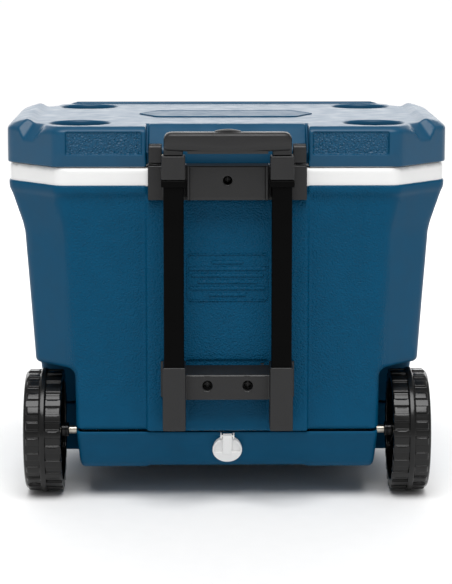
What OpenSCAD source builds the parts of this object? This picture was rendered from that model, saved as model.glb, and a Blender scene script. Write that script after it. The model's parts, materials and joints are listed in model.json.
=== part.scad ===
// Wheeled ice chest: foam-filled tub and hinged lid, two-stage tow handle,
// two hard plastic wheels on a steel axle, hinged drain cap, swing-up side handles.
// Millimetres, +Z up. X runs along the long side, the tow handle faces -Y.

/* [Tub] */
// Width over the lid and the tub's rim
lid_w = 564; // [552:1:576]
// Depth of the lid from front to back
lid_d = 388; // [382:1:394]
// Length of the corner cut along X
corner_x = 66; // [60:1:70]
// Length of the corner cut along Y
corner_y = 74; // [70:1:78]
// Height of the seam between base tray and shell
seam_z = 95; // [93:1:97]
// Top of the blue shell, where the white rim band starts
shell_top = 413; // [411:1:415]
// Top of the white rim band
rim_z = 435.5; // [434:0.5:437]
// Floor of the ice compartment
floor_z = 112; // [110:1:116]
// Wall thickness of the shells
wall = 3; // [2.5:0.5:3.5]

/* [Lid] */
// Height of the flat deck above the ground
deck_z = 487; // [485:1:489]
// Height of the end rails and the front lip
rail_z = 492; // [490:1:494]
// Diameter of a cup holder
cup_d = 77; // [70:1:82]
// Depth of a cup holder
cup_deep = 16; // [10:1:20]
// Distance of the cup holders from the middle, along X
cup_x = 188; // [184:1:190]
// Distance of the cup holders from the lid's long edges
cup_y = 62; // [60:1:66]

/* [Wheels] */
// Wheel diameter
wheel_d = 163; // [158:1:166]
// Wheel width
wheel_w = 48.5; // [44:0.5:49]
// Distance of a wheel's inner side from the middle
wheel_x = 214; // [213:1:215]
// Distance of the axle in front of the rear face
axle_y = 85; // [84:1:88]
// Axle diameter
axle_d = 8; // [8:0.5:10]

/* [Tow handle] */
// Distance of each tube from the middle
tube_x = 67.5; // [66:0.5:68]
// Distance of the tubes behind the rear face
tube_back = 34; // [33:0.5:35]
// Width of the fixed rectangular tubes
tube_w = 25.4; // [25:0.1:26]
// Depth of the fixed rectangular tubes
tube_d = 19; // [18.5:0.1:19.5]
// Wall thickness of all tubes
tube_t = 1; // [0.9:0.1:1.1]
// Width of the grip
grip_w = 157; // [150:1:158]
// Height of the grip
grip_h = 28; // [26:1:30]

/* [Hidden] */
$fn = 48;
eps = 0.01;
run_fit = 0.05;                    // radial clearance of a running fit
grip_rear = 50;                    // how far the grip stands behind the rear face
y0 = -(lid_d - grip_rear) / 2;     // puts the middle of the whole depth at y = 0
wheel_r = wheel_d / 2;
tread_r = wheel_r - 2.5;           // the crown rib stands out by the rest
hub_r = 9;
hub_in = 7;                        // how far the hub sleeve stands out of a wheel's inner side
disc_in = 38;                      // hollow inner side of a wheel, as deep as this
corner_r = 16;                     // rounding where a corner cut meets a side

// tub sections: [height, inset along X, inset along Y]
rim_low = [403, 1, 1];
flare_top = [399, 4, 7];
flare_low = [353, 21, 9];
skirt_low = [187, 32, 12];
shell_low = [seam_z, 36.5, 14];
pier_w = 202;                      // flat pier in the middle of the rear face
pier_y = 3;

// wheel wells
well_x = 195;
well_top = 174;
well_front = 190;
base_w = 192;                      // half width of the base tray between the wheels

// ice compartment: [height, inset along X, inset along Y]
mouth = [rim_z, 52, 32];
pit = [floor_z, 62, 38];
step_x = well_x - 16;
step_y = well_front + 16;
step_z = well_top + 18;

// side pockets for the swing-up handles
pocket_y = lid_d / 2;
pocket_w = 156;
pocket_low = 316;
pocket_top = 398;
pocket_x = 241;
arm_y = 66;
arm_pivot = [251, 386];            // X and Z of the handles' pivots
arm_len = 50;
pin_d = 6;

// lid
lid_z = rim_z + 0.5;
hinge_y = 2;
hinge_z = 450;
hinge_pin_d = 5;
leaf_low = 440.3;
leaf_top = 465;
bay_w = 202;                       // recess behind the grip
bay_y = 12;
bay_z = 457;
bay_in = 46;
scoop_z = 467;                     // lowest point of the corner scoops

// tow handle: [width, depth] of each tube's outside
play = 0.6;                        // between one tube and the next, all round
slide = 0.3;                       // between a tube and the collar or bush that guides it
outer_size = [tube_w, tube_d];
mid_size = outer_size - 2 * [tube_t + play, tube_t + play];
inner_size = mid_size - 2 * [tube_t + play, tube_t + play];
sleeve_top = 188;
sleeve_low = 107;
bracket_low = 395;
bracket_top = 440.5;
flange_top = 438.6;                // the lid's hinge leaves turn just above
screw_z = 422;
ring_z = 415.5;
collar_z = 424.5;
collar_top = 454.5;
grip_z = 457;
stage_low = 123.5;                 // foot of the middle tubes
inner_low = 140;                   // foot of the inner tubes
pad_w = 103;                       // middle pads of both brackets
pad_back = 24;

// drain, on the leaning rear face of the base
lean_top = [10, seam_z];
lean_low = [34, 42];
lean_run = (lean_low[0] - lean_top[0]) / (seam_z - lean_low[1]);
drain_z = 72;
drain_y = lean_top[0] + lean_run * (seam_z - drain_z);
lean = atan(lean_run);
cap_r = 19;
spout_d = 24;
cap_hinge = [4, 20];               // outward and up the face from the drain's middle

blue = [0.02, 0.22, 0.36];
black = [0.07, 0.07, 0.08];
white = [0.92, 0.92, 0.92];
steel = [0.7, 0.7, 0.72];
foam = [0.95, 0.92, 0.75];

function unit(v) = v / norm(v);
function heading(v) = atan2(v[1], v[0]);
function turn(a, b) = (b - a + 540) % 360 - 180;

// every corner of an outline replaced by an arc of radius r in n steps
function rounded(pts, r, n = 5) = [
    for (i = [0:len(pts) - 1])
        let (p = pts[i],
             u = unit(pts[(i + len(pts) - 1) % len(pts)] - p),
             v = unit(pts[(i + 1) % len(pts)] - p),
             half = acos(u * v) / 2,
             c = p + unit(u + v) * r / sin(half),
             a = heading(p + u * r / tan(half) - c),
             b = heading(p + v * r / tan(half) - c))
            for (k = [0:n]) c + r * [cos(a + turn(a, b) * k / n), sin(a + turn(a, b) * k / n)]];

// plan of the cooler: a rectangle with cut corners, in from the lid's edge by dx and dy
function plan(dx, dy) =
    let (w = lid_w / 2 - dx, cx = corner_x - 0.3 * dx, cy = corner_y - 0.3 * dy - 0.3 * dx,
         y1 = dy, y2 = lid_d - dy)
    rounded([[cx - w, y1], [w - cx, y1], [w, y1 + cy], [w, y2 - cy],
             [w - cx, y2], [cx - w, y2], [-w, y2 - cy], [-w, y1 + cy]], corner_r);

function box_outline(w, y1, y2, r) = rounded([[-w, y1], [w, y1], [w, y2], [-w, y2]], r);

module place() translate([0, y0, 0]) children();
module both() for (s = [-1, 1]) on_side(s) children();
module on_side(s) mirror([s < 0 ? 1 : 0, 0, 0]) children();
module across(x1, x2) translate([x1, 0, 0]) rotate([90, 0, 90]) linear_extrude(x2 - x1) children();
module bar(d, x1, x2, y, z) translate([x1, y, z]) rotate([0, 90, 0]) cylinder(d = d, h = x2 - x1);
module post(d, x, y, z1, z2) translate([x, y, z1]) cylinder(d = d, h = z2 - z1);
module block(x1, x2, y1, y2, z1, z2) translate([x1, y1, z1]) cube([x2 - x1, y2 - y1, z2 - z1]);
module slab(dx, dy, z1, z2) translate([0, 0, z1]) linear_extrude(z2 - z1) polygon(plan(dx, dy));

// solid through outlines of equal length, each given with its height
module loft(outlines, heights) {
    n = len(outlines[0]);
    last = len(heights) - 1;
    polyhedron(
        points = [for (k = [0:last], p = outlines[k]) [p[0], p[1], heights[k]]],
        faces = concat(
            [[for (i = [0:n - 1]) i]],
            [[for (i = [0:n - 1]) (last + 1) * n - 1 - i]],
            [for (k = [0:last - 1], i = [0:n - 1])
                [k * n + i, (k + 1) * n + i, (k + 1) * n + (i + 1) % n]],
            [for (k = [0:last - 1], i = [0:n - 1])
                [k * n + i, (k + 1) * n + (i + 1) % n, k * n + (i + 1) % n]]));
}

// solid through sections of the form [height, inset along X, inset along Y], grown inwards by t
module loft_plan(sections, t = 0)
    loft([for (s = sections) plan(s[1] + t, s[2] + t)], [for (s = sections) s[0]]);

// outside of the tub, grown inwards by t and lengthened by over at the top and the bottom
module tub_solid(t = 0, over = 0) {
    loft_plan([shell_low - [over, 0, 0], skirt_low, flare_low, flare_top, rim_low,
               [shell_top + over, rim_low[1], rim_low[2]]], t);
    block(t - pier_w / 2, pier_w / 2 - t, pier_y + t, 30, seam_z - over, flare_top[0]);
}

// space taken by the wheels, t smaller all round
module wells(t = 0) both() {
    block(well_x - t, lid_w / 2, -1, axle_y, seam_z - 1, well_top + t);
    difference() {
        bar(2 * (well_front - axle_y + t), well_x - t, lid_w / 2, axle_y, wheel_r);
        block(0, lid_w, 0, lid_d, well_top + t, shell_top);
    }
    block(well_x - t, lid_w / 2, axle_y - 1, well_front + t - 20, seam_z - 1, 140);
}

module pockets(t = 0) both() {
    block(pocket_x - t, lid_w / 2, pocket_y - pocket_w / 2 - t, pocket_y + pocket_w / 2 + t,
          pocket_low - t, pocket_top + t);
}

module compartment(t = 0) difference() {
    loft([box_outline(lid_w / 2 - pit[1] + t, pit[2] - t, lid_d - pit[2] + t, 40),
          box_outline(lid_w / 2 - mouth[1] + t, mouth[2] - t, lid_d - mouth[2] + t, 40)],
         [pit[0] - t, rim_z + 1]);
    both() block(step_x + t, lid_w, -1, step_y - t, 0, step_z - t);
}

module outer_shell() color(blue) place() difference() {
    tub_solid();
    wells();
    pockets();
    difference() {
        tub_solid(wall, 1);
        wells(wall);
        pockets(wall);
    }
    both() for (s = [-1, 1])
        translate([arm_pivot[0], pocket_y + s * (pocket_w / 2 + wall / 2), arm_pivot[1]])
            rotate([90, 0, 0]) cylinder(d = pin_d, h = wall + 1, center = true);
    for (x = [-25.5, 25.5]) translate([x, 8, 161]) rotate([90, 0, 0]) cylinder(d = 5, h = 10);
}

module base_outline(t = 0) polygon([
    [lean_top[0] + t, seam_z - eps], [lean_low[0] + t - lean_run * t, lean_low[1] + t],
    [150, 26 + t], [300, 16 + t], [366 - t, 16 + t], [373 - t, seam_z - eps]]);

module base_solid(t = 0) difference() {
    union() {
        across(t - base_w, base_w - t) base_outline(t);
        intersection() {
            across(t - 243, 243 - t) base_outline(t);
            slab(shell_low[1] + 2 + t, 5, 0, seam_z);
        }
    }
    wells_low(t);
}

module wells_low(t = 0) both() {
    bar(2 * (well_front - axle_y + t), base_w - t, lid_w, axle_y, wheel_r);
    block(base_w - t, lid_w, -1, axle_y, -1, seam_z + 1);
}

module base_tray() color(blue) place() difference() {
    union() {
        difference() {
            base_solid();
            translate([0, 0, eps]) base_solid(wall);
        }
        both() {
            bar(20, 150, 197, axle_y, wheel_r);
            block(150, base_w - wall + eps, axle_y - 10, axle_y + 10, 30, wheel_r);
            translate([170, 345, 4]) cylinder(d = 44, h = 16);
        }
    }
    bar(axle_d, -199, 199, axle_y, wheel_r);
    drain_frame() cylinder(d = spout_d, h = 14, center = true);
}

module foot_pads() color(black) place() both() translate([170, 345, 0]) cylinder(d = 40, h = 4);

module foam_core() color(foam) place() difference() {
    union() {
        tub_solid(wall + 0.2);
        slab(rim_low[1] + wall + 4, rim_low[2] + wall + 4, shell_top - 1, rim_z - wall - 0.2);
    }
    wells(wall + 0.2);
    pockets(wall + 0.2);
    compartment(wall + 0.2);
    sump(wall + 0.2);
    block(-300, 300, -1, lid_d + 1, seam_z - 1, seam_z + 2);
}

module inner_liner() color(white) place() difference() {
    union() {
        compartment(wall);
        slab(3, 3, shell_top + 0.2, rim_z);
        sump(wall);
    }
    compartment();
    sump();
    difference() {
        slab(3 + wall, 3 + wall, shell_top - 1, rim_z - wall);
        compartment(wall);
    }
    block(-300, 300, -1, lid_d + 1, rim_z, rim_z + 10);
    drain_frame() translate([0, 0, -30]) cylinder(d = spout_d, h = 30);
    translate([0, 8, screw_z]) rotate([90, 0, 0]) cylinder(d = 5, h = 10);
}

// drop pocket of the compartment's floor, which leads down to the drain, t bigger all round
module sump(t = 0) block(-17 - t, 17 + t, 41 - t, 70 + t, 60 - t, floor_z + eps);

// Z points out of the leaning rear face, Y runs up the face
module drain_frame() translate([0, drain_y, drain_z]) rotate([90 + lean, 0, 0]) children();

module drain_spout() color(white) place() drain_frame() difference() {
    union() {
        cylinder(d = 36, h = 2.5);
        translate([0, 0, -25]) cylinder(d = spout_d, h = 25 + eps);
        translate([-9, 10, 0]) cube([18, cap_hinge[1] - 7, 2.5]);
        for (x = [-9, 7]) translate([x, cap_hinge[1] - 2, 0]) cube([2, 5, 7]);
    }
    translate([0, 0, -26]) cylinder(d = 19, h = 30);
    translate([-10, cap_hinge[1], cap_hinge[0]]) rotate([0, 90, 0]) cylinder(d = 3, h = 20);
    translate([-7, cap_hinge[1] - 4.5, -1]) cube([14, 9, 5]);
}

module drain_gasket() color(black) place() drain_frame() translate([0, 0, -4.8]) difference() {
    cylinder(d = 34, h = 2);
    translate([0, 0, -1]) cylinder(d = spout_d, h = 4);
}

module drain_nut() color(white) place() drain_frame() translate([0, 0, -7.8]) difference() {
    cylinder(d = 36, h = 3, $fn = 6);
    translate([0, 0, -1]) cylinder(d = spout_d, h = 5);
}

module drain_pin() color(steel) place() drain_frame()
    translate([-9, cap_hinge[1], cap_hinge[0]]) rotate([0, 90, 0]) cylinder(d = 3, h = 18);

module drain_cap() color(white) place() drain_frame() difference() {
    union() {
        translate([0, 0, 3]) cylinder(r = cap_r, h = 5);
        translate([0, 0, 0.5]) cylinder(d = 17, h = 3);
        translate([-6, 0, 3]) cube([12, cap_hinge[1], 6]);
        translate([-6, cap_hinge[1], cap_hinge[0]]) rotate([0, 90, 0]) cylinder(d = 7, h = 12);
    }
    translate([-7, cap_hinge[1], cap_hinge[0]]) rotate([0, 90, 0])
        cylinder(d = 3 + 2 * run_fit, h = 14);
    for (x = [-9.6, 6.4]) translate([x, cap_hinge[1] - 4.8, 2]) cube([3.2, 5, 8]);
}

module axle() color(steel) place()
    bar(axle_d, -wheel_x - wheel_w - 1, wheel_x + wheel_w + 1, axle_y, wheel_r);

module axle_push_nuts() color(steel) place() both() difference() {
    bar(18, wheel_x + wheel_w - 3, wheel_x + wheel_w - 1.5, axle_y, wheel_r);
    bar(axle_d, wheel_x, wheel_x + wheel_w + 3, axle_y, wheel_r);
}

module wheel_spacers() color(steel) place() both() difference() {
    bar(11, 197.3, wheel_x - hub_in - 0.4, axle_y, wheel_r);
    bar(axle_d, 190, wheel_x, axle_y, wheel_r);
}

// half section of a wheel, X is the radius and Y runs from the inner to the outer side
module wheel_section() polygon([
    [axle_d / 2 + run_fit, -hub_in], [hub_r, -hub_in], [hub_r, disc_in], [wheel_r - 21.5, disc_in],
    [wheel_r - 17.5, 4], [wheel_r - 14.5, 0], [wheel_r - 5.5, 0], [tread_r, 4],
    [tread_r, 20.5], [wheel_r, 21], [wheel_r, 27.5], [tread_r, 28], [tread_r, wheel_w - 6],
    [wheel_r - 8.5, wheel_w], [40, wheel_w - 2], [14, wheel_w - 2], [14, wheel_w - 4],
    [axle_d / 2 + run_fit, wheel_w - 4]]);

module wheel(s) color(black) place() on_side(s) translate([wheel_x, axle_y, wheel_r]) rotate([0, 90, 0]) {
    rotate_extrude($fn = 96) wheel_section();
    for (a = [0:60:300]) rotate(a) translate([hub_r - 0.5, -2, 6]) cube([wheel_r - 30, 4, disc_in - 5.5]);
}
module wheel_left() wheel(-1);
module wheel_right() wheel(1);

module hub_cap(s) color(black) place() on_side(s) translate([wheel_x + wheel_w - 2, axle_y, wheel_r])
    rotate([0, 90, 0]) difference() {
        cylinder(d = 34, h = 5.5);
        translate([0, 0, -1]) cylinder(d = 28, h = 5);
    }
module hub_cap_left() hub_cap(-1);
module hub_cap_right() hub_cap(1);

// upright bar of rectangular section around a tube's middle line
module column(s, size, z1, z2, r = 2) translate([s * tube_x, -tube_back, z1]) linear_extrude(z2 - z1)
    polygon(rounded([for (c = [[-1, -1], [1, -1], [1, 1], [-1, 1]])
        [c[0] * size[0], c[1] * size[1]] / 2], r, 3));

module upper_bracket() color(black) place() difference() {
    union() {
        block(-100, 100, -6, rim_low[2], bracket_low, flange_top);
        block(-100, 100, -6, pier_y, bracket_low, flare_top[0]);
        block(-pad_w / 2, pad_w / 2, -pad_back, -5, bracket_low + 2, bracket_top);
        both() {
            block(tube_x - tube_w / 2, tube_x + tube_w / 2, -tube_back, -5, bracket_low + 4, ring_z);
            across(70, 80.5) {
                translate([hinge_y, hinge_z]) circle(r = 8);
                translate([hinge_y - 8, 432]) square([9, hinge_z - 432]);
            }
        }
    }
    both() column(1, outer_size, 380, ring_z + 6);
    both() bar(hinge_pin_d + 2 * run_fit, 60, 90, hinge_y, hinge_z);
    translate([0, -8, screw_z]) rotate([90, 0, 0]) cylinder(d = 12, h = 30);
    translate([0, 10, screw_z]) rotate([90, 0, 0]) cylinder(d = 5, h = 60);
}

module screw(head, shank, length) {
    cylinder(d = head, h = 3);
    translate([0, 0, -length]) cylinder(d = shank, h = length + eps);
}

module upper_bracket_screw() color(steel) place()
    translate([0, -8, screw_z]) rotate([90, 0, 0]) screw(10, 5, 14);

module lower_bracket() color(black) place() difference() {
    union() {
        across(-tube_x + 13, tube_x - 13) polygon([[-pad_back, 142.5], [pier_y, 142.5], [pier_y, 182.5],
            [-pad_back + 3, 175.5], [-pad_back, 172.5]]);
        both() block(tube_x - 14.5, tube_x + 14.5, -tube_back - 12, pier_y, sleeve_low, sleeve_top);
    }
    both() column(1, outer_size, sleeve_low + 4, sleeve_top + 1);
    for (x = [-25.5, 25.5]) {
        translate([x, -12, 161]) rotate([90, 0, 0]) cylinder(d = 12.5, h = 20);
        translate([x, 10, 161]) rotate([90, 0, 0]) cylinder(d = 5, h = 60);
    }
}

module lower_bracket_screws() color(steel) place() for (x = [-25.5, 25.5])
    translate([x, -12, 161]) rotate([90, 0, 0]) screw(10, 5, 18);

module tube(s, size, z1, z2) color(black) place() difference() {
    column(s, size, z1, z2);
    column(s, size - 2 * [tube_t, tube_t], z1 - 1, z2 + 1, 1);
}
module outer_tube_left() tube(-1, outer_size, sleeve_low + 4, ring_z + 6);
module outer_tube_right() tube(1, outer_size, sleeve_low + 4, ring_z + 6);
module mid_tube_left() tube(-1, mid_size, stage_low, collar_top - 2);
module mid_tube_right() tube(1, mid_size, stage_low, collar_top - 2);
module inner_tube_left() tube(-1, inner_size, inner_low, grip_z + 11);
module inner_tube_right() tube(1, inner_size, inner_low, grip_z + 11);

// cap on a tube's top end that guides the next tube
module collar(s, width, tube_size, next_size, z1, seat, z2) color(black) place() difference() {
    column(s, [width, tube_size[1] + width - tube_size[0]], z1, z2, 1.5);
    column(s, tube_size, z1 - 1, seat);
    column(s, next_size + 2 * [slide, slide], z1, z2 + 1);
}
module outer_collar_left() collar(-1, 31, outer_size, mid_size, ring_z, ring_z + 6, collar_z - 0.4);
module outer_collar_right() collar(1, 31, outer_size, mid_size, ring_z, ring_z + 6, collar_z - 0.4);
module mid_collar_left() collar(-1, 29.5, mid_size, inner_size, collar_z, collar_top - 2, collar_top);
module mid_collar_right() collar(1, 29.5, mid_size, inner_size, collar_z, collar_top - 2, collar_top);

// bush under a tube's lower end, which slides inside the wider tube
module foot_bushes(wide_size, tube_size, z) color(white) place() for (s = [-1, 1]) difference() {
    column(s, wide_size - 2 * [tube_t + slide, tube_t + slide], z - 12, z);
    column(s, tube_size - 2 * [tube_t, tube_t], z - 13, z + 1);
}
module mid_foot_bushes() foot_bushes(outer_size, mid_size, stage_low);
module inner_foot_bushes() foot_bushes(mid_size, inner_size, inner_low);

module grip() color(black) place() difference() {
    union() {
        across(-grip_w / 2, grip_w / 2) polygon(rounded([[-grip_rear, grip_z + 4], [-24, grip_z + 4],
            [-24, grip_z + grip_h], [-grip_rear, grip_z + grip_h]], 7));
        both() column(1, inner_size + [5, 4], collar_top + 0.5, grip_z + 12);
    }
    both() column(1, inner_size, collar_top, grip_z + 11);
    both() post(6, tube_x, -tube_back, grip_z + 10, grip_z + 21);
    block(-tube_x - 4, tube_x + 4, -41, -31, grip_z + 12, grip_z + 20.5);
    block(-17, 17, -41.5, -28.5, grip_z + 15.5, grip_z + grip_h + 1);
}

module grip_insert() color(black) place()
    block(-50, 50, -46, -28, grip_z + 0.5, grip_z + 4);

module release_button() color(black) place()
    block(-16.5, 16.5, -41, -29, grip_z + 20, grip_z + grip_h + 2.5);

module lock_rods() color(steel) place() {
    block(-tube_x - 3, tube_x + 3, -39, -33, grip_z + 17, grip_z + 20);
    for (s = [-1, 1]) post(5, s * tube_x, -tube_back, inner_low - 6, grip_z + 17 + eps);
}

module cups(t = 0) for (x = [-cup_x, cup_x], y = [cup_y, lid_d - cup_y])
    translate([x, y, deck_z - cup_deep - t]) cylinder(d = cup_d + 2 * t, h = cup_deep + 10, $fn = 72);

// recess behind the grip, cut into the lid's rear edge
module bay(t = 0) across(-bay_w / 2 - t, bay_w / 2 + t) polygon([
    [-1, lid_z - 5], [bay_y + t, lid_z - 5], [bay_y + t, bay_z - t],
    [bay_in + t, deck_z + 0.01 - t], [bay_in + t, rail_z + 5], [-1, rail_z + 5]]);

// scoop through each corner cut: its floor climbs from the cut face inwards to the deck
module scoops() both() for (m = [0, 1]) translate([0, lid_d * m, 0]) mirror([0, m, 0]) {
    along = unit([corner_x, corner_y]);
    multmatrix([[along[0], 0, -along[1], lid_w / 2 - corner_x],
                [along[1], 0, along[0], 0],
                [0, 1, 1.1, scoop_z]])
        translate([0, 0, -3]) linear_extrude(29) polygon([[0, 23], [19, 16], [33, 11], [44, 1.5],
            [66, 0], [76, 14], [92, 34], [92, 60], [0, 60]]);
}

// raised rail along each end
module rails() intersection() {
    slab(0.5, 0.5, deck_z - 12, rail_z + 1);
    both() translate([0, lid_d, 0]) rotate([90, 0, 0]) linear_extrude(lid_d)
        polygon([[247, deck_z - 11], [lid_w / 2, deck_z - 11], [lid_w / 2, deck_z - 8],
                 [272, deck_z + 0.5], [256, rail_z], [254, rail_z], [247, deck_z]]);
}

module front_lip() across(-205, 205) polygon([
    [lid_d - 16, deck_z - 1], [lid_d - 2, deck_z - 6], [lid_d - 5, rail_z], [lid_d - 11, rail_z]]);

module lid_solid() difference() {
    union() {
        loft_plan([[lid_z, 0, 0], [deck_z - 9, 0, 0], [deck_z - 5, 4, 1], [deck_z, 17, 7]]);
        rails();
        front_lip();
    }
    bay();
    scoops();
}

// foam space inside the lid, t smaller all round
module lid_room(t) difference() {
    union() {
        slab(wall + t, wall + t, lid_z + wall + 0.2 + t, scoop_z - 2 - wall - t);
        intersection() {
            slab(wall + 8 + t, wall + 5 + t, lid_z + wall + t, deck_z - wall - t);
            union() {
                block(t - 218, 218 - t, 0, lid_d, lid_z, deck_z);
                block(t - 300, 300 - t, 72 + t, lid_d - 72 - t, lid_z, deck_z);
            }
        }
    }
    bay(wall + t);
    cups(wall + t);
}

module lid_shell() color(blue) place() difference() {
    lid_solid();
    cups();
    lid_room(0);
    slab(wall, wall, lid_z - 1, lid_z + wall + 0.3);
}

module lid_liner() color(white) place() difference() {
    union() {
        difference() {
            slab(wall + 0.3, wall + 0.3, lid_z, lid_z + wall);
            bay(wall + 0.3);
        }
        translate([0, 0, lid_z - 12]) linear_extrude(12 + eps)
            polygon(box_outline(lid_w / 2 - mouth[1] - 4, mouth[2] + 4, lid_d - mouth[2] - 4, 46));
    }
    translate([0, 0, lid_z - 12 + wall]) linear_extrude(30)
        polygon(box_outline(lid_w / 2 - mouth[1] - 4 - wall, mouth[2] + 4 + wall,
                            lid_d - mouth[2] - 4 - wall, 44));
}

module lid_foam() color(foam) place() {
    lid_room(0.2);
    translate([0, 0, lid_z - 12 + wall + 0.2]) linear_extrude(12.5)
        polygon(box_outline(lid_w / 2 - mouth[1] - 8, mouth[2] + 8, lid_d - mouth[2] - 8, 43));
}

module lid_badge() color(blue) place() translate([0, lid_d / 2, deck_z]) linear_extrude(1.6)
    polygon(rounded([[-116, 0], [-92, -50], [92, -50], [116, 0], [92, 50], [-92, 50]], 8));

module lid_hinge(s) color(black) place() on_side(s) difference() {
    across(82.5, 99) polygon(rounded([[-6, leaf_low], [bay_y - eps, leaf_low], [bay_y - eps, leaf_top],
        [-6, leaf_top]], 4));
    bar(hinge_pin_d, 70, 97, hinge_y, hinge_z);
}
module lid_hinge_left() lid_hinge(-1);
module lid_hinge_right() lid_hinge(1);

module hinge_pin(s) color(steel) place() on_side(s) bar(hinge_pin_d, 71, 97, hinge_y, hinge_z);
module hinge_pin_left() hinge_pin(-1);
module hinge_pin_right() hinge_pin(1);

module side_handle(s) color(black) place() on_side(s) difference() {
    union() {
        for (m = [-1, 1]) {
            translate([arm_pivot[0] - 5, pocket_y + m * arm_y - 6, arm_pivot[1] - arm_len])
                cube([10, 12, arm_len]);
            translate([arm_pivot[0], pocket_y + m * arm_y + 6, arm_pivot[1]])
                rotate([90, 0, 0]) cylinder(d = 13, h = 12);
        }
        translate([arm_pivot[0] - 6, pocket_y - arm_y - 6, arm_pivot[1] - arm_len - 8])
            cube([12, 2 * arm_y + 12, 20]);
    }
    translate([arm_pivot[0], pocket_y + 90, arm_pivot[1]])
        rotate([90, 0, 0]) cylinder(d = pin_d + 2 * run_fit, h = 180);
}
module side_handle_left() side_handle(-1);
module side_handle_right() side_handle(1);

module side_handle_pins() color(steel) place() both() for (m = [-1, 1])
    translate([arm_pivot[0], pocket_y + m * (arm_y + 4), arm_pivot[1]])
        rotate([90, 0, 0]) cylinder(d = pin_d, h = 21, center = true);

outer_shell();
base_tray();
foam_core();
inner_liner();
foot_pads();
axle();
axle_push_nuts();
wheel_spacers();
wheel_left();
wheel_right();
hub_cap_left();
hub_cap_right();
upper_bracket();
upper_bracket_screw();
lower_bracket();
lower_bracket_screws();
outer_tube_left();
outer_tube_right();
outer_collar_left();
outer_collar_right();
mid_tube_left();
mid_tube_right();
mid_collar_left();
mid_collar_right();
mid_foot_bushes();
inner_tube_left();
inner_tube_right();
inner_foot_bushes();
grip();
grip_insert();
release_button();
lock_rods();
lid_shell();
lid_foam();
lid_liner();
lid_badge();
lid_hinge_left();
lid_hinge_right();
hinge_pin_left();
hinge_pin_right();
drain_spout();
drain_gasket();
drain_nut();
drain_cap();
drain_pin();
side_handle_left();
side_handle_right();
side_handle_pins();
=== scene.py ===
"""Wheeled cooler seen from its tow-handle side: shells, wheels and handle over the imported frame."""
import json
import math
import bpy
import numpy as np
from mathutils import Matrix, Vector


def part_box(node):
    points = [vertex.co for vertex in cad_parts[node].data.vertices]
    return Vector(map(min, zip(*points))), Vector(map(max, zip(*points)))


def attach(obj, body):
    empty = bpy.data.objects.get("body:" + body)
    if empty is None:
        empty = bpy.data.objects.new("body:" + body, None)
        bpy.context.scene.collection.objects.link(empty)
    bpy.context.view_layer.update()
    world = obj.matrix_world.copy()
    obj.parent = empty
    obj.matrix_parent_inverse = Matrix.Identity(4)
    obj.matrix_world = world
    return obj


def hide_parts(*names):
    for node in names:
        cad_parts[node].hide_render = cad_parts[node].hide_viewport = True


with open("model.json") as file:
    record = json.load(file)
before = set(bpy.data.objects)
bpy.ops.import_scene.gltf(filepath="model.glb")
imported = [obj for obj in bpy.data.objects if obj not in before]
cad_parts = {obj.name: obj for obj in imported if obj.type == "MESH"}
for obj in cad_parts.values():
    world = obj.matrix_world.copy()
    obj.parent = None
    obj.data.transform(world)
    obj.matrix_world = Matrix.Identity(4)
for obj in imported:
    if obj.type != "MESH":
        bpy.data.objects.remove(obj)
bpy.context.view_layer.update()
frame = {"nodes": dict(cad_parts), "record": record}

import openvdb
from mathutils import Vector

MM = 0.001


# ---------------------------------------------------------------- sizes, in millimetres

def cad(node):
    """(lowest corner, highest corner) of a CAD node in millimetres."""
    return tuple(np.array(corner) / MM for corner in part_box(node))


def span(node):
    """A CAD node's box as x1, x2, y1, y2, z1, z2, with y counted from the lid's rear face."""
    (x1, y1, z1), (x2, y2, z2) = cad(node)
    return x1, x2, y1 - REAR, y2 - REAR, z1, z2


LID, SHELL = cad("lid_shell"), cad("outer_shell")
REAR = LID[0][1]                       # rear face of the lid; y below is counted from it
HALF_W = LID[1][0]
DEPTH = LID[1][1] - LID[0][1]
MID = DEPTH / 2
LID_Z, RAIL_Z = LID[0][2], LID[1][2]
DECK_Z = RAIL_Z - 5
SCOOP_Z = 467                          # lowest point of the corner scoops
SEAM_Z, SHELL_TOP = SHELL[0][2], SHELL[1][2]
RIM_Z = cad("inner_liner")[1][2]
CUT = (66, 74)                         # corner cut along x and y
PIER = 101                             # half width of the rear pier and of the bay above it
TUBE_X = sum(span("outer_tube_right")[:2]) / 2
AXLE = (85, 81.5)                      # y and z
WHEEL_X1, WHEEL_X2 = span("wheel_right")[:2]
WHEEL_R = (span("wheel_right")[5] - span("wheel_right")[4]) / 2
HUB_IN = 7                             # the hub sleeve stands out of the wheel's inner side
HINGE = (2, 450)                       # y and z of the lid's pivots
ARM_AT = (251, 386)                    # x and z of the side handles' pivots
SKIN = 5                               # least thickness of the tub's upright walls
WELL_R = 105                           # wheel wells, around the axle
LEAN = 24 / 53                         # slope of the base's rear and front faces
CUP_X, CUP_Y, CUP_R = 188, 62, 38.5    # cup holders: from the middle, from the long sides, radius
PIN_BORE_R = 2.6                       # bore for the lid's hinge pins
BLOCKS = 24                            # raised blocks around a wheel


# ---------------------------------------------------------------- solids as distance fields

class Space:
    """Sample places between two corners, at one spacing, in millimetres."""

    def __init__(self, low, high, step):
        self.low, self.step = np.array(low, float), step
        axes = [np.arange(a, b + step, step, dtype=np.float32) for a, b in zip(low, high)]
        self.shape = tuple(len(a) for a in axes)
        self.x, self.y, self.z = np.ix_(*axes)


def around(x1, x2, y1, y2, z1, z2, step):
    """Space with a margin around a box."""
    m = 4 * step
    return Space((x1 - m, y1 - m, z1 - m), (x2 + m, y2 + m, z2 + m), step)


def either(a, b, k=0.01):
    """Inside a or b (or the lower of two heights); k is the width of the fillet between them."""
    h = np.clip(0.5 + 0.5 * (b - a) / k, 0, 1)
    return b + (a - b) * h - k * h * (1 - h)


def both(a, b, k=0.01):
    """Inside a and b (or the higher of two heights); k is the width of the round along the edge."""
    return -either(-a, -b, k)


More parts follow.
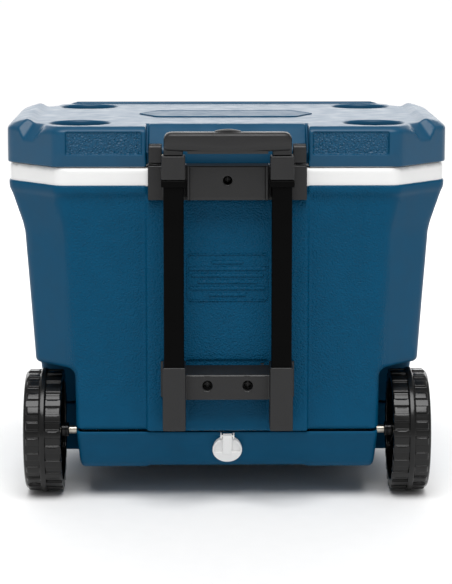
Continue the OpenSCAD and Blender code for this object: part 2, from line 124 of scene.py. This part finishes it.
def without(a, b, k=0.01):
    """Inside a and not b."""
    return both(a, -b, k)


def between(u, low, high):
    """Distance past the planes at low and high."""
    return np.abs(u - (low + high) / 2) - (high - low) / 2


def bar(u, v, u1, u2, v1, v2, r):
    """Endless bar whose section is a rectangle with corners of radius r."""
    a, b = between(u, u1 + r, u2 - r), between(v, v1 + r, v2 - r)
    return np.hypot(np.maximum(a, 0), np.maximum(b, 0)) + np.minimum(np.maximum(a, b), 0) - r


def rod(u, v, at, r):
    """Endless round bar across the plane of u and v."""
    return np.hypot(u - at[0], v - at[1]) - r


def brick(s, x1, x2, y1, y2, z1, z2, r=1.0):
    """Box with all edges rounded to r."""
    q = [between(u, a + r, b - r) for u, a, b in ((s.x, x1, x2), (s.y, y1, y2), (s.z, z1, z2))]
    outside = np.sqrt(sum(np.maximum(d, 0) ** 2 for d in q))
    return outside + np.minimum(np.maximum(np.maximum(q[0], q[1]), q[2]), 0) - r


def ramp(u, low, high):
    """0 below low, 1 above high, smooth between."""
    t = np.clip((u - low) / (high - low), 0, 1)
    return t * t * (3 - 2 * t)


def plan(s, dx, dy, k=7):
    """The cooler's outline: a rectangle with cut corners, in from the lid's edge by dx and dy."""
    ax, ay = np.abs(s.x), np.abs(s.y - MID)
    along_x, along_y = CUT[0] - 0.3 * dx, CUT[1] - 0.3 * (dx + dy)
    past_x, past_y = ax - HALF_W + dx + along_x, ay - MID + dy
    cut = (past_x * along_y + past_y * along_x) / np.hypot(along_x, along_y)
    return both(both(ax - HALF_W + dx, cut, k), past_y, k)


# ---------------------------------------------------------------- meshes

def sample(d, p):
    """The field's value at places p, counted in samples."""
    i = np.clip(np.floor(p).astype(int), 0, np.array(d.shape) - 2)
    f = p - i
    total = 0
    for corner in np.ndindex(2, 2, 2):
        weight = np.prod(np.where(corner, f, 1 - f), axis=1)
        total = total + weight * d[tuple((i + corner).T)]
    return total


def slope(d, p):
    """The field's gradient at places p."""
    return np.stack([sample(d, p + e) - sample(d, p - e) for e in 0.6 * np.eye(3)], axis=1) / 1.2


def surface(s, d, adapt):
    """(points in metres, faces, outward normals) of the surface where the field d is zero."""
    band = 3 * s.step
    d = np.broadcast_to(d, s.shape).astype(np.float32)
    grid = openvdb.FloatGrid(band)
    grid.copyFromArray(np.clip(d, -band, band))
    points, triangles, quads = grid.convertToPolygons(0.0, adapt)
    for _ in range(2):
        g = slope(d, points)
        points = points - g * (sample(d, points) / np.maximum((g * g).sum(1), 1e-3))[:, None]
    g = slope(d, points)
    normals = g / np.maximum(np.linalg.norm(g, axis=1), 1e-9)[:, None]
    points = (points * s.step + s.low + (0, REAR, 0)) * MM
    return points, [*map(tuple, quads), *map(tuple, triangles)], normals


def mesh_object(name, points, faces, normals):
    mesh = bpy.data.meshes.new(name)
    mesh.from_pydata(points.tolist(), [], [[int(i) for i in f] for f in faces])
    mesh.shade_smooth()
    mesh.normals_split_custom_set_from_vertices(normals.tolist())
    piece = bpy.data.objects.new(name, mesh)
    bpy.context.scene.collection.objects.link(piece)
    return piece


def part(name, s, d, slot, body, *nodes, adapt=0.02):
    """A piece that follows a CAD body, wears a material slot and stands for the CAD nodes."""
    return dress(mesh_object(name, *surface(s, d, adapt)), slot, body, *nodes)


def pair(name, s, d, slot, bodies, nodes=(), adapt=0.02):
    """The right-hand piece and its mirror image; bodies and nodes are given left first."""
    points, faces, normals = surface(s, d, adapt)
    flip = np.array((-1, 1, 1))
    left = mesh_object(name + "_left", points * flip, [f[::-1] for f in faces], normals * flip)
    right = mesh_object(name + "_right", points, faces, normals)
    dress(left, slot, bodies[0], *nodes[:1])
    dress(right, slot, bodies[-1], *nodes[1:])


def dress(piece, slot, body, *nodes):
    piece.data.materials.append(MATERIALS[slot])
    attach(piece, body)
    if nodes:
        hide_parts(*nodes)
    return piece


# ---------------------------------------------------------------- materials

def moulded(name, colour, rough, mottle=0.06, cell=0, depth=0, zones=(), **values):
    """Material whose colour and gloss vary a little over the surface.

    With a cell size it has a pebble grain. Sizes are in millimetres. A zone (axis, a, b, c, d) lets the
    grain fade in from a to b and out from c to d.
    """
    m = bpy.data.materials.new(name)
    m.use_nodes = True
    nodes, links = m.node_tree.nodes, m.node_tree.links
    shader = nodes["Principled BSDF"]
    for socket, value in values.items():
        shader.inputs[socket.replace("_", " ")].default_value = value
    place = nodes.new("ShaderNodeTexCoord").outputs["Object"]

    def remap(value, *bounds):
        node = nodes.new("ShaderNodeMapRange")
        for socket, bound in zip(("From Min", "From Max", "To Min", "To Max"), bounds):
            node.inputs[socket].default_value = bound
        links.new(value, node.inputs["Value"])
        return node.outputs["Result"]

    clouds = nodes.new("ShaderNodeTexNoise")
    clouds.inputs["Scale"].default_value = 45
    clouds.inputs["Detail"].default_value = 6
    links.new(place, clouds.inputs["Vector"])
    gloss = remap(clouds.outputs["Fac"], 0.3, 0.7, rough - 0.05, rough + 0.05)
    links.new(gloss, shader.inputs["Roughness"])
    tint = nodes.new("ShaderNodeMix")
    tint.data_type = "RGBA"
    tint.inputs["A"].default_value = (*(c * (1 - mottle) for c in colour), 1)
    tint.inputs["B"].default_value = (*(c * (1 + mottle) for c in colour), 1)
    links.new(remap(clouds.outputs["Fac"], 0.3, 0.7, 0, 1), tint.inputs["Factor"])
    links.new(tint.outputs["Result"], shader.inputs["Base Color"])

    if cell:
        pebbles = nodes.new("ShaderNodeTexVoronoi")
        pebbles.feature = "SMOOTH_F1"
        pebbles.inputs["Scale"].default_value = 1 / (cell * MM)
        links.new(place, pebbles.inputs["Vector"])
        bump = nodes.new("ShaderNodeBump")
        bump.invert = True
        bump.inputs["Distance"].default_value = depth * MM
        axes = nodes.new("ShaderNodeSeparateXYZ")
        links.new(place, axes.inputs["Vector"])
        height = pebbles.outputs["Distance"]
        for axis, *bounds in zones:
            away = nodes.new("ShaderNodeMath")
            away.operation = "ABSOLUTE"
            links.new(axes.outputs[axis], away.inputs[0])
            for (start, end), (low, high) in ((bounds[:2], (0, 1)), (bounds[2:], (1, 0))):
                fade = nodes.new("ShaderNodeMath")
                fade.operation = "MULTIPLY"
                links.new(height, fade.inputs[0])
                links.new(remap(away.outputs[0], start * MM, end * MM, low, high), fade.inputs[1])
                height = fade.outputs[0]
        links.new(height, bump.inputs["Height"])
        links.new(bump.outputs["Normal"], shader.inputs["Normal"])
    return m


BLUE = (0.0006, 0.058, 0.125)
WALL_ZONES = (("X", -1, 0, 196, 208), ("Z", 97, 150, 440, 450))
PANEL_ZONES = (("X", 107, 110, 200, 204), ("Z", LID_Z + 15, LID_Z + 17, DECK_Z - 9, DECK_Z - 6))
MATERIALS = {
    "blue_plastic": moulded("blue polyethylene", BLUE, 0.42, 0.05, 2.0, 1.2, WALL_ZONES,
                            Specular_IOR_Level=0.09),
    "white_plastic": moulded("white plastic", (0.77, 0.77, 0.765), 0.35, 0.01, 0.8, 0.02),
    "black_plastic": moulded("black plastic", (0.009, 0.009, 0.0095), 0.42, 0.15, 1.2, 0.12,
                             Specular_IOR_Level=0.42),
    "wheel_plastic": moulded("wheel plastic", (0.004, 0.004, 0.004), 0.2, 0.2, Specular_IOR_Level=0.32),
    "black_tube": moulded("painted tube", (0.002, 0.002, 0.002), 0.35, 0.1, Specular_IOR_Level=0.03),
    "steel": moulded("zinc-plated steel", (0.62, 0.58, 0.50), 0.3, 0.1, Metallic=1),
    "screw_steel": moulded("blackened steel", (0.02, 0.02, 0.02), 0.3, 0.2, Metallic=0.6),
    "grip_rubber": moulded("soft grip", (0.015, 0.015, 0.015), 0.7, 0.1, 1.0, 0.1),
    "foot_rubber": moulded("rubber", (0.02, 0.02, 0.02), 0.8, 0.1, 1.2, 0.1),
    "foam": moulded("foam", (0.7, 0.62, 0.4), 0.9, 0.1, 1.5, 0.2),
}
LID_BLUE = moulded("blue polyethylene lid", BLUE, 0.38, 0.05, 2.3, 2.4, PANEL_ZONES,
                   Specular_IOR_Level=0.3)


# ---------------------------------------------------------------- tub

# height, how far in from the lid's edge at the ends and at the rear and front
WALLS = ((SEAM_Z, 36.5, 14.5), (187, 32.2, 12.5), (252, 27.6, 11), (345, 20.7, 9), (357, 18, 8.5),
         (397, 4, 7), (403, 1.4, 2), (420, 1.2, 1))


def tub_shell():
    s = Space((-HALF_W - 4, -4, SEAM_Z - 4), (HALF_W + 4, DEPTH + 4, SHELL_TOP + 4), 1.8)
    ax, ay = np.abs(s.x), np.abs(s.y - MID)
    heights, ends, faces = zip(*WALLS)
    soft = [(np.interp(s.z + dz, heights, ends), np.interp(s.z + dz, heights, faces))
            for dz in (-2, 0, 2)]
    d = plan(s, sum(e for e, _ in soft) / 3, sum(f for _, f in soft) / 3)
    inside = d + SKIN                  # upright walls only, so that the room stays open above
    pier = bar(s.x, s.y, -PIER - 2, PIER + 2, 3, 40, 4)
    pier = without(pier, both(bar(s.x, s.z, -52, 52, 0, 189, 3), s.y - 5.6), 2)
    d = either(d, pier, 4)
    d = both(d, between(s.z, SEAM_Z + 1.2, SHELL_TOP - 0.3), 2)
    # seat of the upper bracket
    d = without(d, both(bar(s.x, s.z, -PIER - 1.5, PIER + 1.5, 393, 440, 5), s.y - 3.8), 1)
    # wheel wells, open to the rear
    arch = both(either(s.y - AXLE[0], rod(s.y, s.z, AXLE, WELL_R), 8), s.z - 174, 20)
    d = without(d, both(195 - ax, arch, 12), 7)
    # side pockets
    d = without(d, both(241 - ax, bar(s.y, s.z, MID - 78, MID + 78, 316, 398, 14), 4), 5)
    # room for the liner
    room = both(both(ax - 233, ay - 166, 60), 104 - s.z, 20)
    room = without(room, both(both(184 - ax, s.y - 201, 10), s.z - 187, 10), 10)
    room = either(room, both(bar(s.x, s.y, -21, 21, 37, 74, 5), s.z - 120))
    room = both(room, inside)
    part("tub_shell", s, without(d, room), "blue_plastic", "tub", "outer_shell")


def base():
    s = Space((-252, 4, 0), (252, 380, SEAM_Z + 5), 1.7)
    ax = np.abs(s.x)
    lean = (10 - s.y + LEAN * (SEAM_Z - s.z)) * 0.91
    floor = both(both(42 - 0.138 * (s.y - 34) - s.z, 26 - 0.067 * (s.y - 150) - s.z, 6), 16 - s.z, 6)
    keel = both(floor, 2.3 * ramp(PIER + 4 - ax, 0, 6) + floor, 2)
    body = both(both(lean, keel, 10), s.y - 373 + 0.09 * (SEAM_Z - s.z), 10)
    narrow = both(body, ax - 194 + 4 / 53 * (SEAM_Z - s.z), 8)
    wide = both(both(both(body, 33 - s.z, 4), ax - 243, 8), plan(s, 38, 5), 8)
    wide = without(without(wide, rod(s.y, s.z, AXLE, WELL_R)), s.y - AXLE[0])
    d = either(narrow, wide, 8)
    d = either(d, both(rod(s.y, s.z, AXLE, 10), ax - 197, 2), 3)
    d = either(d, both(rod(ax, s.y, (170, 345), 22), between(s.z, 4, 22), 1), 2)
    d = both(d, s.z - SEAM_Z + 0.8, 3)
    # hollow, open at the top
    d = without(d, narrow + 3, 1)
    d = without(d, rod(s.y, s.z, AXLE, 4.2))
    part("base", s, d, "blue_plastic", "tub", "base_tray")


def liner():
    s = Space((-HALF_W, 0, 54), (HALF_W, DEPTH, RIM_Z + 6), 2.2)
    ax, ay = np.abs(s.x), np.abs(s.y - MID)
    taper = (RIM_Z - s.z) / (RIM_Z - 112)
    hole = both(both(ax - 229 + 10 * taper, ay - MID + 32 + 6 * taper, 60), 112 - s.z, 24)
    step = both(both(179 - ax, s.y - 206, 12), s.z - 192, 12)
    hole = without(hole, step, 12)
    sump = both(bar(s.x, s.y, -17, 17, 41, 70, 5), 60 - s.z, 4)
    hole = either(hole, both(sump, s.z - 130), 5)
    rim = both(plan(s, 3, 3), between(s.z, SHELL_TOP - 2, RIM_Z), 2)
    d = without(either(hole - 3, rim), hole, 2)
    d = both(d, s.z - RIM_Z, 3)
    part("liner", s, d, "white_plastic", "tub", "inner_liner")


# ---------------------------------------------------------------- lid

def lid_height(s):
    """Height of the lid's upper face: deck, end rails and front lip, with a scoop in each corner."""
    ax, ay = np.abs(s.x), np.abs(s.y - MID)
    rail = either(RAIL_Z - 0.25 * np.maximum(ax - 256, 0), DECK_Z + 0.7 * (ax - 246), 3)
    lip = either(either(RAIL_Z + 1, DECK_Z + 2 * (s.y - DEPTH + 13), 2), RAIL_Z - 0.45 * (ax - 208), 3)
    top = both(both(rail, DECK_Z, 2), lip, 2)
    # along the corner cut and inwards from it
    length = math.hypot(*CUT)
    past_x, in_y = ax - HALF_W + CUT[0], MID - ay
    along = (past_x * CUT[0] + in_y * CUT[1]) / length
    inward = (in_y * CUT[0] - past_x * CUT[1]) / length
    rear_side = either(0.86 * (44 - along), 9.4 + 0.36 * (33 - along), 3)
    sides = both(both(0, rear_side, 4), 1.35 * (along - 66), 4)
    return either(top, SCOOP_Z + 1.1 * inward + sides, 3)


def lid_top():
    s = Space((-HALF_W - 5, -5, LID_Z - 5), (HALF_W + 5, DEPTH + 5, RAIL_Z + 6), 1.3)
    ax, ay = np.abs(s.x), np.abs(s.y - MID)
    edge = plan(s, 0, 0)
    lower_lip = 0.18 * np.maximum(LID_Z + 15 - s.z, 0) * ramp(225 - ax, 0, 20)
    d = plan(s, 0, lower_lip)
    d = both(d, (s.z - DECK_Z + 6 + 0.86 * edge) * 0.76, 2.5)
    d = both(d, (s.z - lid_height(s)) * 0.75, 2)
    d = both(d, LID_Z - s.z, 1.2)
    # textured field sunk into the rear and front walls
    field = bar(ax, s.z, PIER + 7, 203, LID_Z + 15.5, DECK_Z - 7, 2)
    d = without(d, both(field, MID - 2.2 - ay), 1.2)
    # bay behind the grip, with a groove along each side
    face, rise = s.y - 12, (s.y - 12 - 1.17 * (s.z - 457)) * 0.65
    bay = both(either(face, rise, 4), ax - PIER - 1, 2)
    groove = both(between(ax, PIER - 1.5, PIER + 1.5), rise - 2.5)
    d = without(d, either(bay, groove), 2.5)
    # cup holders
    for x in (-CUP_X, CUP_X):
        for y in (CUP_Y, DEPTH - CUP_Y):
            d = without(d, both(rod(s.x, s.y, (x, y), CUP_R), DECK_Z - 16 - s.z, 5), 3.5)
    d = without(d, both(plan(s, 5, 5), s.z - LID_Z - 3))
    lid = part("lid_top", s, d, "blue_plastic", "lid", "lid_shell")
    lid.data.materials[0] = LID_BLUE


def badge():
    x1, x2, y1, y2, z1, z2 = span("lid_badge")
    s = around(x1, x2, y1, y2, z1, z2, 0.9)
    ax, ay = np.abs(s.x), np.abs(s.y - (y1 + y2) / 2)
    half, tall = (x2 - x1) / 2, (y2 - y1) / 2
    outline = both(ay - tall, (ax - half + 0.48 * ay) * 0.9, 8)
    plate = both(outline, s.z - z2 + 0.6, 1)
    rim = both(both(outline, -outline - 2.5), s.z - z2, 0.8)
    part("badge", s, both(either(plate, rim, 1), z1 - 2 - s.z), "blue_plastic", "lid", "lid_badge")


def care_panel():
    """Raised frame with plain bars, where the maker's moulded notice would be."""
    s = around(-52, 52, 1.5, 5, 265, 326, 0.6)
    outline = bar(s.x, s.z, -51.5, 51.5, 265, 326, 6)
    d = both(outline, -outline - 1.6)
    for row, half in enumerate((20, 49, 46, 38, 48, 24)):
        d = either(d, bar(s.x, s.z, -half, half, 313 - 8.3 * row, 317 - 8.3 * row, 1.2))
    part("care_panel", s, both(d, between(s.y, 1.7, 5), 0.6), "blue_plastic", "tub")


# ---------------------------------------------------------------- wheels

def wheels():
    s = around(WHEEL_X1, WHEEL_X2, AXLE[0] - WHEEL_R, AXLE[0] + WHEEL_R, 0, 2 * WHEEL_R, 0.9)
    w = s.x - WHEEL_X1 - HUB_IN        # from the tread's inner to its outer side
    wide = WHEEL_X2 - WHEEL_X1 - HUB_IN
    r = np.hypot(s.y - AXLE[0], s.z - AXLE[1])
    turn = np.arctan2(s.z - AXLE[1], s.y - AXLE[0]) / (2 * math.pi) * BLOCKS
    low = WHEEL_R - 4.5

    def blocks(w1, w2, offset):
        """One row of raised blocks, half as wide as their spacing."""
        side = (np.abs((turn + offset) % 1 - 0.5) - 0.25) * (2 * math.pi * low / BLOCKS)
        return both(both(side, between(w, w1, w2), 1), r - WHEEL_R + 2, 1)

    d = both(r - low, between(w, 0, wide), 3)
    d = either(d, blocks(-1, 20.5, 0), 0.8)
    d = either(d, blocks(28, 45, 0.5), 0.8)
    d = either(d, both(r - WHEEL_R, between(w, 20.5, 28), 2), 1)
    d = both(d, (r - WHEEL_R + 2 + (w - wide + 4)) * 0.7, 2)
    d = both(d, -w, 1)
    # hollow inner side with ribs and a hub sleeve, dished outer side
    hollow = both(both(r - WHEEL_R + 15 - 0.06 * w, w - 38, 4), 9 - r, 3)
    spoke = np.abs((turn / 4) % 1 - 0.5) * (2 * math.pi * r / 6) - 1.8
    d = without(d, without(hollow, both(spoke, 6 - w), 1.5), 1.5)
    d = without(d, both(r - WHEEL_R + 12, wide - 2 - w, 1), 1.5)
    d = without(d, both(r - 14, wide - 4 - w))
    d = either(d, both(r - 9, between(w, -HUB_IN, 10), 1), 1)
    d = without(d, r - 4.1)
    pair("wheel", s, d, "wheel_plastic", ("left_wheel", "right_wheel"), ("wheel_left", "wheel_right"))


# ---------------------------------------------------------------- tow handle

def tubes():
    x1, x2, y1, y2, z1, z2 = span("outer_tube_right")
    s = around(x1, x2, y1, y2, z1, z2, 1.0)
    d = both(bar(s.x, s.y, x1, x2, y1, y2, 2.5), between(s.z, z1, z2))
    d = without(d, bar(s.x, s.y, x1 + 1.2, x2 - 1.2, y1 + 1.2, y2 - 1.2, 1.5))
    pair("outer_tube", s, d, "black_tube", ("tub",), ("outer_tube_left", "outer_tube_right"))
    for name, slot, body in (("outer_collar", "black_tube", "tub"),
                             ("mid_collar", "black_plastic", "middle_stage")):
        x1, x2, y1, y2, z1, z2 = span(name + "_right")
        s = around(x1, x2, y1, y2, z1, z2, 0.7)
        next_tube = span("mid_tube_right" if name == "outer_collar" else "inner_tube_right")
        hole = bar(s.x, s.y, *(v + g for v, g in zip(next_tube, (-0.3, 0.3, -0.3, 0.3))), 2)
        d = without(brick(s, x1, x2, y1, y2, z1, z2, 1.6), hole)
        if name == "outer_collar":
            tube = bar(s.x, s.y, *span("outer_tube_right")[:4], 2.5)
            d = without(d, both(tube, s.z - span("outer_tube_right")[5]))
        pair(name, s, d, slot, (body,), (name + "_left", name + "_right"))


def grip():
    x1, x2, y1, y2, z1, z2 = span("grip")
    s = around(x1, x2, y1, y2, z1, z2, 0.8)
    ax = np.abs(s.x)
    low = z1 + 2 + 4.5 * ramp(ax, 0, 82)
    d = bar(s.x, s.z, x1, x2, z1 - 30, z2, 11)
    d = both(d, low - s.z, 6)
    d = both(d, between(s.y, y1, y2), 7)
    crown = s.z - z2 + 0.012 * (s.y - (y1 + y2) / 2) ** 2
    d = both(d, crown * 0.95, 3)
    undercut = (low + 9 - s.z - 1.6 * (s.y - y1)) * 0.53
    d = both(d, undercut, 2)
    neck = both(bar(ax, s.y, TUBE_X - 12, TUBE_X + 12, -42.3, -25.7, 2), between(s.z, z1, z1 + 14), 1)
    d = either(d, neck, 1)
    inner = span("inner_tube_right")
    d = without(d, both(bar(ax, s.y, *inner[:4], 2), s.z - inner[5]))
    bx1, bx2, by1, by2 = span("release_button")[:4]
    pocket = bar(s.x, s.y, bx1 - 0.4, bx2 + 0.4, by1 - 0.4, by2 + 0.4, 3)
    d = without(d, both(pocket, z1 + 17.5 - s.z), 0.6)
    part("grip", s, d, "black_plastic", "tow_handle", "grip")

    x1, x2, y1, y2, z1, z2 = span("release_button")
    s = around(x1, x2, y1, y2, z1, z2, 0.6)
    dome = s.z - z2 + 0.009 * s.x ** 2 + 0.03 * (s.y - (y1 + y2) / 2) ** 2
    d = both(both(bar(s.x, s.y, x1, x2, y1, y2, 3), z1 - s.z, 1), dome, 1)
    part("release_button", s, d, "black_plastic", "release", "release_button")


def bracket_top():
    x1, x2, y1, _, z1, z2 = span("upper_bracket")
    s = around(x1, x2, y1, 8, z1, z2, 0.8)
    ax = np.abs(s.x)
    plate = brick(s, x1, x2, -6, 7.5, z1, HINGE[1] - 11.4, 1.2)
    pad = brick(s, -51.5, 51.5, -24, 6, z1 + 2, 440.5, 1)
    shade_line = both(between(ax, 47.5, 48.3), s.y + 23.3)
    pad = without(pad, shade_line, 0.5)
    d = either(plate, pad, 1)
    saddle = both(bar(ax, s.z, TUBE_X - 12.5, TUBE_X + 12.5, z1 + 4, 415.5, 1), between(s.y, -24.4, 0))
    d = either(d, saddle, 1)
    lug = either(rod(s.y, s.z, HINGE, 8), bar(s.y, s.z, -6, 3, 430, HINGE[1], 1), 2)
    d = either(d, both(lug, between(ax, 70, 80.5), 1), 1)
    d = without(d, both(rod(s.y, s.z, HINGE, PIN_BORE_R), 60 - ax))
    d = without(d, both(rod(s.x, s.z, (0, 422), 5.6), s.y + 8), 1)
    part("bracket_top", s, d, "black_plastic", "tub", "upper_bracket")


def bracket_low():
    x1, x2, y1, y2, z1, z2 = span("lower_bracket")
    s = around(x1, x2, y1, y2, z1, z2, 0.8)
    ax = np.abs(s.x)
    pad = both(brick(s, -54, 54, -24, 5, 142.5, 190, 2), (s.z - 174.5 - 0.28 * (s.y + 24)) * 0.96, 1.5)
    sleeve = both(bar(ax, s.y, x2 - 29, x2, y1, y2 + 8, 2), between(s.z, z1, z2), 1.2)
    flange = both(bar(ax, s.z, TUBE_X, x2 + 3, 142, 188, 1), between(s.y, -2, 4), 1)
    d = either(either(pad, sleeve, 0.5), flange, 1)
    tube = span("outer_tube_right")
    d = without(d, both(bar(ax, s.y, *tube[:4], 2.5), tube[4] - s.z))
    for x in (-25.5, 25.5):
        d = without(d, both(rod(s.x, s.z, (x, 161), 6.2), s.y + 12), 1.2)
    part("bracket_low", s, d, "black_plastic", "tub", "lower_bracket")


def hinges():
    x1, x2, y1, y2, z1, z2 = span("lid_hinge_right")
    s = around(x1, x2, y1, y2, z1, z2, 0.7)
    d = both(bar(s.y, s.z, y1, y2 + 6, z1, z2, 5), between(s.x, x1, x2), 1)
    d = both(d, s.y - y2)
    d = without(d, both(rod(s.y, s.z, HINGE, PIN_BORE_R), s.x - 97))
    pair("hinge_leaf", s, d, "black_plastic", ("lid",), ("lid_hinge_left", "lid_hinge_right"))


def screws():
    for node, places in (("upper_bracket_screw", ((0, 422, -8),)),
                         ("lower_bracket_screws", ((-25.5, 161, -12), (25.5, 161, -12)))):
        for i, (x, z, y) in enumerate(places):
            s = around(x - 5, x + 5, y - 3, y + 4, z - 5, z + 5, 0.35)
            r = np.hypot(s.x - x, s.z - z)
            head = both(both(r - 5, y - 3 + 0.05 * r ** 2 - s.y, 1), s.y - y)
            cross = either(between(s.x - x, -0.7, 0.7), between(s.z - z, -0.7, 0.7), 0.3)
            head = without(head, both(both(cross, r - 3), s.y - y + 1.2), 0.4)
            d = either(head, both(r - 2.4, between(s.y, y - 1, y + 4)), 0.5)
            name = node + "_" + "ab"[i] if len(places) > 1 else node
            part(name, s, d, "screw_steel", "tub", node)


def drain():
    """Cap in the leaning frame of the base's rear face: v runs up the face and w out of it."""
    lean = math.atan(LEAN)
    s = around(-20, 20, 0, 36, 50, 98, 0.6)
    up, back = s.z - 72, s.y - 10 - LEAN * (SEAM_Z - 72)
    v = up * math.cos(lean) - back * math.sin(lean)
    w = -up * math.sin(lean) - back * math.cos(lean)
    r = np.hypot(s.x, v)
    ax = np.abs(s.x)
    disc = both(r - 19, between(w, 3, 7.8), 1.2)
    disc = without(disc, both(both(r - 17, -3 - v, 1.5), 4.6 - w, 0.8), 0.8)
    disc = without(disc, both(between(ax, 6.4, 9.6), 15.2 - v), 0.5)
    strap = both(bar(s.x, v, -6, 6, -6, 23, 2), between(w, 3, 8.4), 1.2)
    barrel = both(np.hypot(v - 20, w - 4) - 3.5, ax - 6, 0.8)
    plug = both(r - 8.5, between(w, 0.5, 4), 0.5)
    d = either(either(disc, strap, 1.2), either(barrel, plug), 0.5)
    d = without(d, np.hypot(v - 20, w - 4) - 1.6)
    part("drain_cap", s, d, "white_plastic", "drain_lid", "drain_cap")


def side_handles():
    x1, x2, y1, y2, z1, z2 = span("side_handle_right")
    s = around(x1, x2, y1, y2, z1, z2, 0.8)
    ay = np.abs(s.y - MID)
    half = (y2 - y1) / 2
    bow = 3 * ramp(ay, 0, half)
    bar_ = both(bar(s.x, s.z - bow, x1, x2, z1, z1 + 20, 6), ay - half, 3)
    arm = both(bar(s.x, s.z, x1 + 1, x2 - 1, z1 + 6, ARM_AT[1], 4), between(ay, half - 12, half), 2)
    arm = either(arm, both(rod(s.x, s.z, ARM_AT, 6.5), between(ay, half - 12, half), 2), 3)
    d = without(either(bar_, arm, 6), rod(s.x, s.z, ARM_AT, 3.1))
    pair("side_handle", s, d, "black_plastic", ("left_bail", "right_bail"),
         ("side_handle_left", "side_handle_right"))


tub_shell()
base()
liner()
lid_top()
badge()
care_panel()
wheels()
tubes()
grip()
bracket_top()
bracket_low()
hinges()
screws()
drain()
side_handles()

for entry in frame["record"]["subparts"]:
    shown = frame["nodes"][entry["node"]].data.materials
    shown.clear()
    shown.append(MATERIALS[entry["material_slot"]])


# ---------------------------------------------------------------- stage

def stage():
    bpy.ops.mesh.primitive_plane_add(size=60)
    floor = bpy.context.object
    floor.name = "floor"
    floor.data.materials.append(moulded("pale floor", (0.9, 0.9, 0.9), 0.7, 0.005))
    world = bpy.context.scene.world or bpy.data.worlds.new("World")
    bpy.context.scene.world = world
    world.use_nodes = True
    world.node_tree.nodes["Background"].inputs["Color"].default_value = (1, 1, 1, 1)
    world.node_tree.nodes["Background"].inputs["Strength"].default_value = 0.45
    bpy.context.scene.view_settings.view_transform = "Standard"
    overhead = bpy.data.lights.new("overhead", "SUN")
    overhead.energy, overhead.angle = 2.7, math.radians(40)
    panel = bpy.data.lights.new("panel", "AREA")
    panel.shape, panel.size, panel.size_y, panel.energy = "RECTANGLE", 6, 2, 76
    for light, at, aim in ((overhead, (0, -2, 4), (0, 0, 0.3)), (panel, (0, 3.5, 1.55), (0, 0, 1.2))):
        lamp = bpy.data.objects.new(light.name, light)
        lamp.location = at
        lamp.rotation_euler = (Vector(aim) - Vector(at)).to_track_quat("-Z", "Y").to_euler()
        bpy.context.scene.collection.objects.link(lamp)


def camera():
    """2.9 m behind the rear face, a little left of the middle, 0.75 m up, looking down by 9 degrees."""
    data = bpy.data.cameras.new("camera")
    data.sensor_width, data.lens = 36, 145
    eye = bpy.data.objects.new("camera", data)
    eye.location = (-0.0352, REAR * MM - 2.9445, 0.7453)
    eye.rotation_euler = (math.radians(80.97), 0, math.radians(-0.65))
    bpy.context.scene.collection.objects.link(eye)
    bpy.context.scene.camera = eye


stage()
camera()
